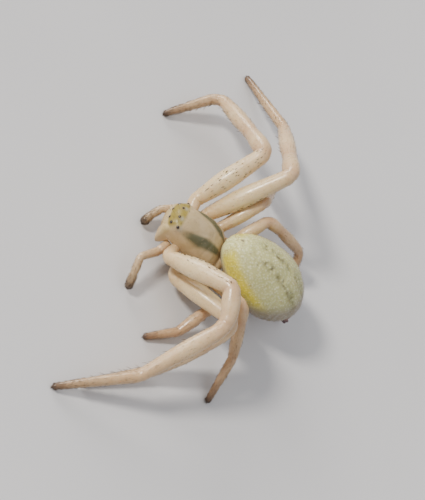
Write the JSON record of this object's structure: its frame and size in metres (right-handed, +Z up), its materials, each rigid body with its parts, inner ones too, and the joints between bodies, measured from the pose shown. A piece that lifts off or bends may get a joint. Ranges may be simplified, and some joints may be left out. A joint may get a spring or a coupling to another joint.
{
  "type": "crab spider figure",
  "caption": "life-size still figure of a pale crab spider standing with its long front legs spread sideways and a rounded abdomen",
  "frame": {"origin": "on the floor, under the middle of the box around the whole spider", "axes": "+X the spider's left and the box's longest side, -Y the way the head looks, +Z up"},
  "size_m": [0.0228, 0.0108, 0.005],
  "materials": {
    "leg": "waxy, slightly translucent skin",
    "carapace": "smooth satin skin",
    "abdomen": "finely pebbled satin skin",
    "eye": "glossy",
    "spinneret": "matt, hairy"
  },
  "bodies": {
    "root": {"carapace": "carapace", "sternum": "carapace", "chelicera_left": "carapace", "chelicera_right": "carapace", "mouthparts": "carapace", "abdomen": "abdomen", "pedicel": "carapace", "spinnerets": "spinneret", "palp_left": "leg", "leg_left_1_coxa": "leg", "leg_left_1_femur": "leg", "leg_left_1_patella": "leg", "leg_left_1_tibia": "leg", "leg_left_1_foot": "leg", "leg_left_2_coxa": "leg", "leg_left_2_femur": "leg", "leg_left_2_patella": "leg", "leg_left_2_tibia": "leg", "leg_left_2_foot": "leg", "leg_left_3_coxa": "leg", "leg_left_3_femur": "leg", "leg_left_3_patella": "leg", "leg_left_3_tibia": "leg", "leg_left_3_foot": "leg", "leg_left_4_coxa": "leg", "leg_left_4_femur": "leg", "leg_left_4_patella": "leg", "leg_left_4_tibia": "leg", "leg_left_4_foot": "leg", "palp_right": "leg", "leg_right_1_coxa": "leg", "leg_right_1_femur": "leg", "leg_right_1_patella": "leg", "leg_right_1_tibia": "leg", "leg_right_1_foot": "leg", "leg_right_2_coxa": "leg", "leg_right_2_femur": "leg", "leg_right_2_patella": "leg", "leg_right_2_tibia": "leg", "leg_right_2_foot": "leg", "leg_right_3_coxa": "leg", "leg_right_3_femur": "leg", "leg_right_3_patella": "leg", "leg_right_3_tibia": "leg", "leg_right_3_foot": "leg", "leg_right_4_coxa": "leg", "leg_right_4_femur": "leg", "leg_right_4_patella": "leg", "leg_right_4_tibia": "leg", "leg_right_4_foot": "leg", "eye_front_middle_left": "eye", "eye_front_middle_right": "eye", "eye_front_side_left": "eye", "eye_front_side_right": "eye", "eye_rear_middle_left": "eye", "eye_rear_middle_right": "eye", "eye_rear_side_left": "eye", "eye_rear_side_right": "eye"}
  },
  "joints": []
}
